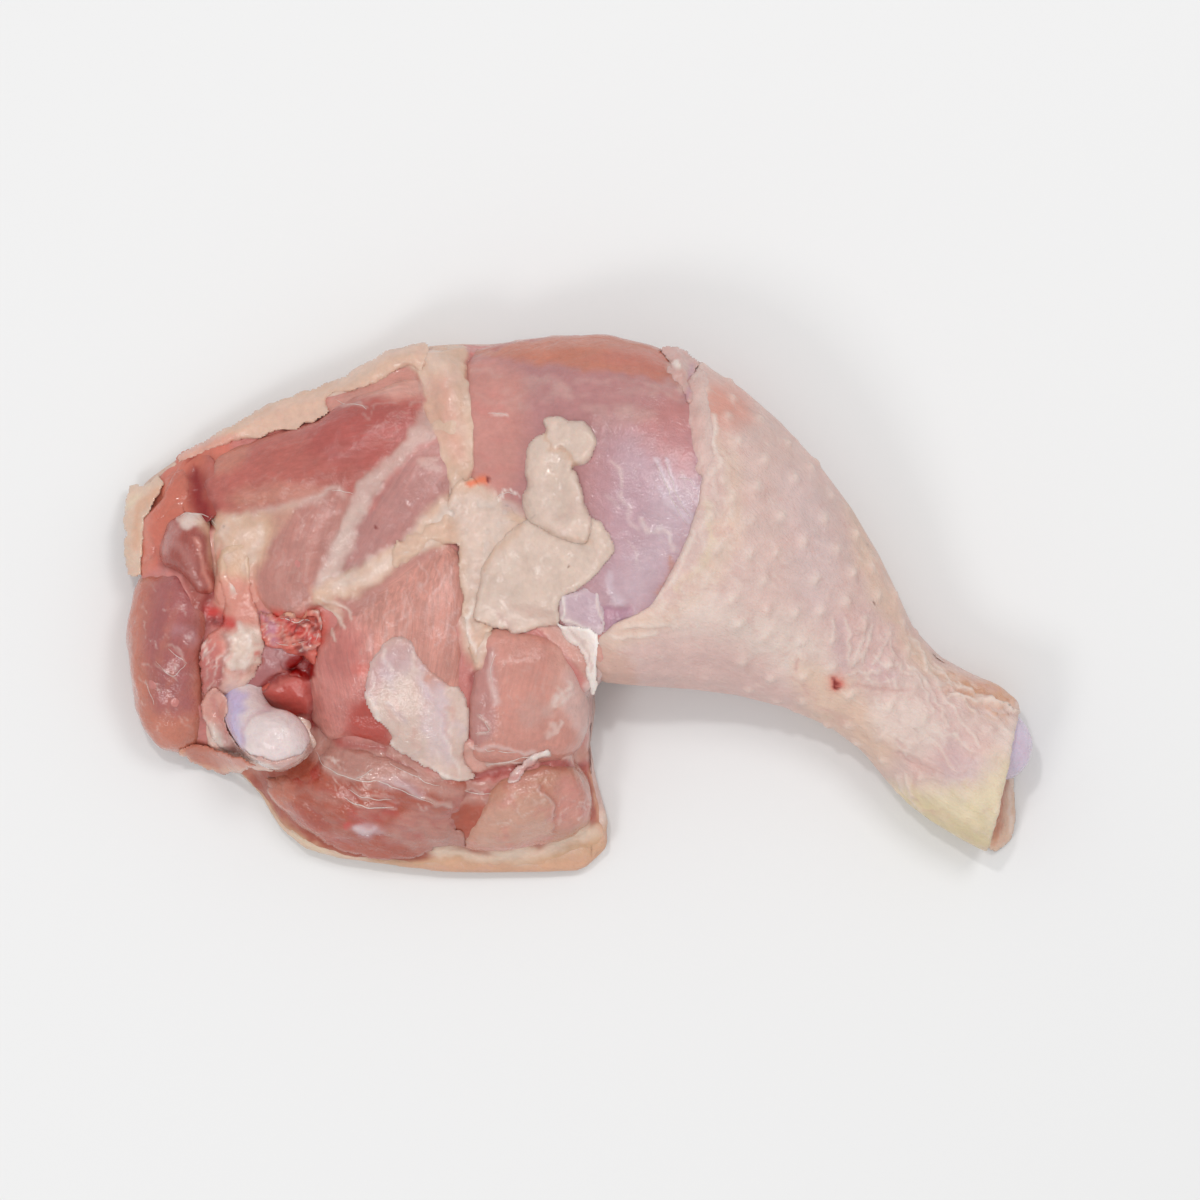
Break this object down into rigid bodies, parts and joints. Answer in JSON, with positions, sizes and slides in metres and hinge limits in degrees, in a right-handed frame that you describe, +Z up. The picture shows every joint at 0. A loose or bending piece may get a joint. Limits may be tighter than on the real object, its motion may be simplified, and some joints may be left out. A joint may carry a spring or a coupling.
{
  "type": "raw chicken leg",
  "caption": "Raw whole chicken leg, thigh and drumstick together, lying on its skin with the inner cut side up.",
  "frame": {"origin": "centre of the leg's box, on the surface it lies on", "axes": "+X from the hip end of the thigh to the hock, +Y from the thigh's rear edge to its front edge, +Z up out of the cut side"},
  "size_m": [0.1823, 0.1088, 0.0374],
  "materials": {
    "skin": "thin damp poultry skin, pale pinkish cream with feather bumps and fine wrinkles",
    "red_muscle": "wet raw muscle, reddish pink, fine grain, glossy",
    "pale_muscle": "wet raw muscle, pale salmon to mauve pink, fine grain, glossy",
    "fat": "soft lumpy cream fat, damp",
    "membrane": "thin wet whitish membrane",
    "cartilage": "smooth wet bluish white cartilage"
  },
  "bodies": {
    "root": {"skin": "skin", "drumstick_meat": "pale_muscle", "tibia": "cartilage", "femur": "cartilage", "front_muscle": "red_muscle", "middle_muscle": "pale_muscle", "strap_muscle": "pale_muscle", "inner_muscle": "red_muscle", "block_muscle": "pale_muscle", "rear_muscle": "red_muscle", "rear_lobe": "pale_muscle", "hip_lobe": "red_muscle", "hip_small_lobe": "pale_muscle", "hip_edge_muscle": "red_muscle", "hip_red_muscle": "red_muscle", "hip_band_muscle": "red_muscle", "hip_tendon": "fat", "hip_capsule": "membrane", "hip_fat": "fat", "upper_seam_fat": "fat", "lower_seam_fat": "fat", "band_fat": "fat", "fat_flap": "fat", "fat_curl": "fat", "membrane": "membrane"}
  },
  "joints": []
}
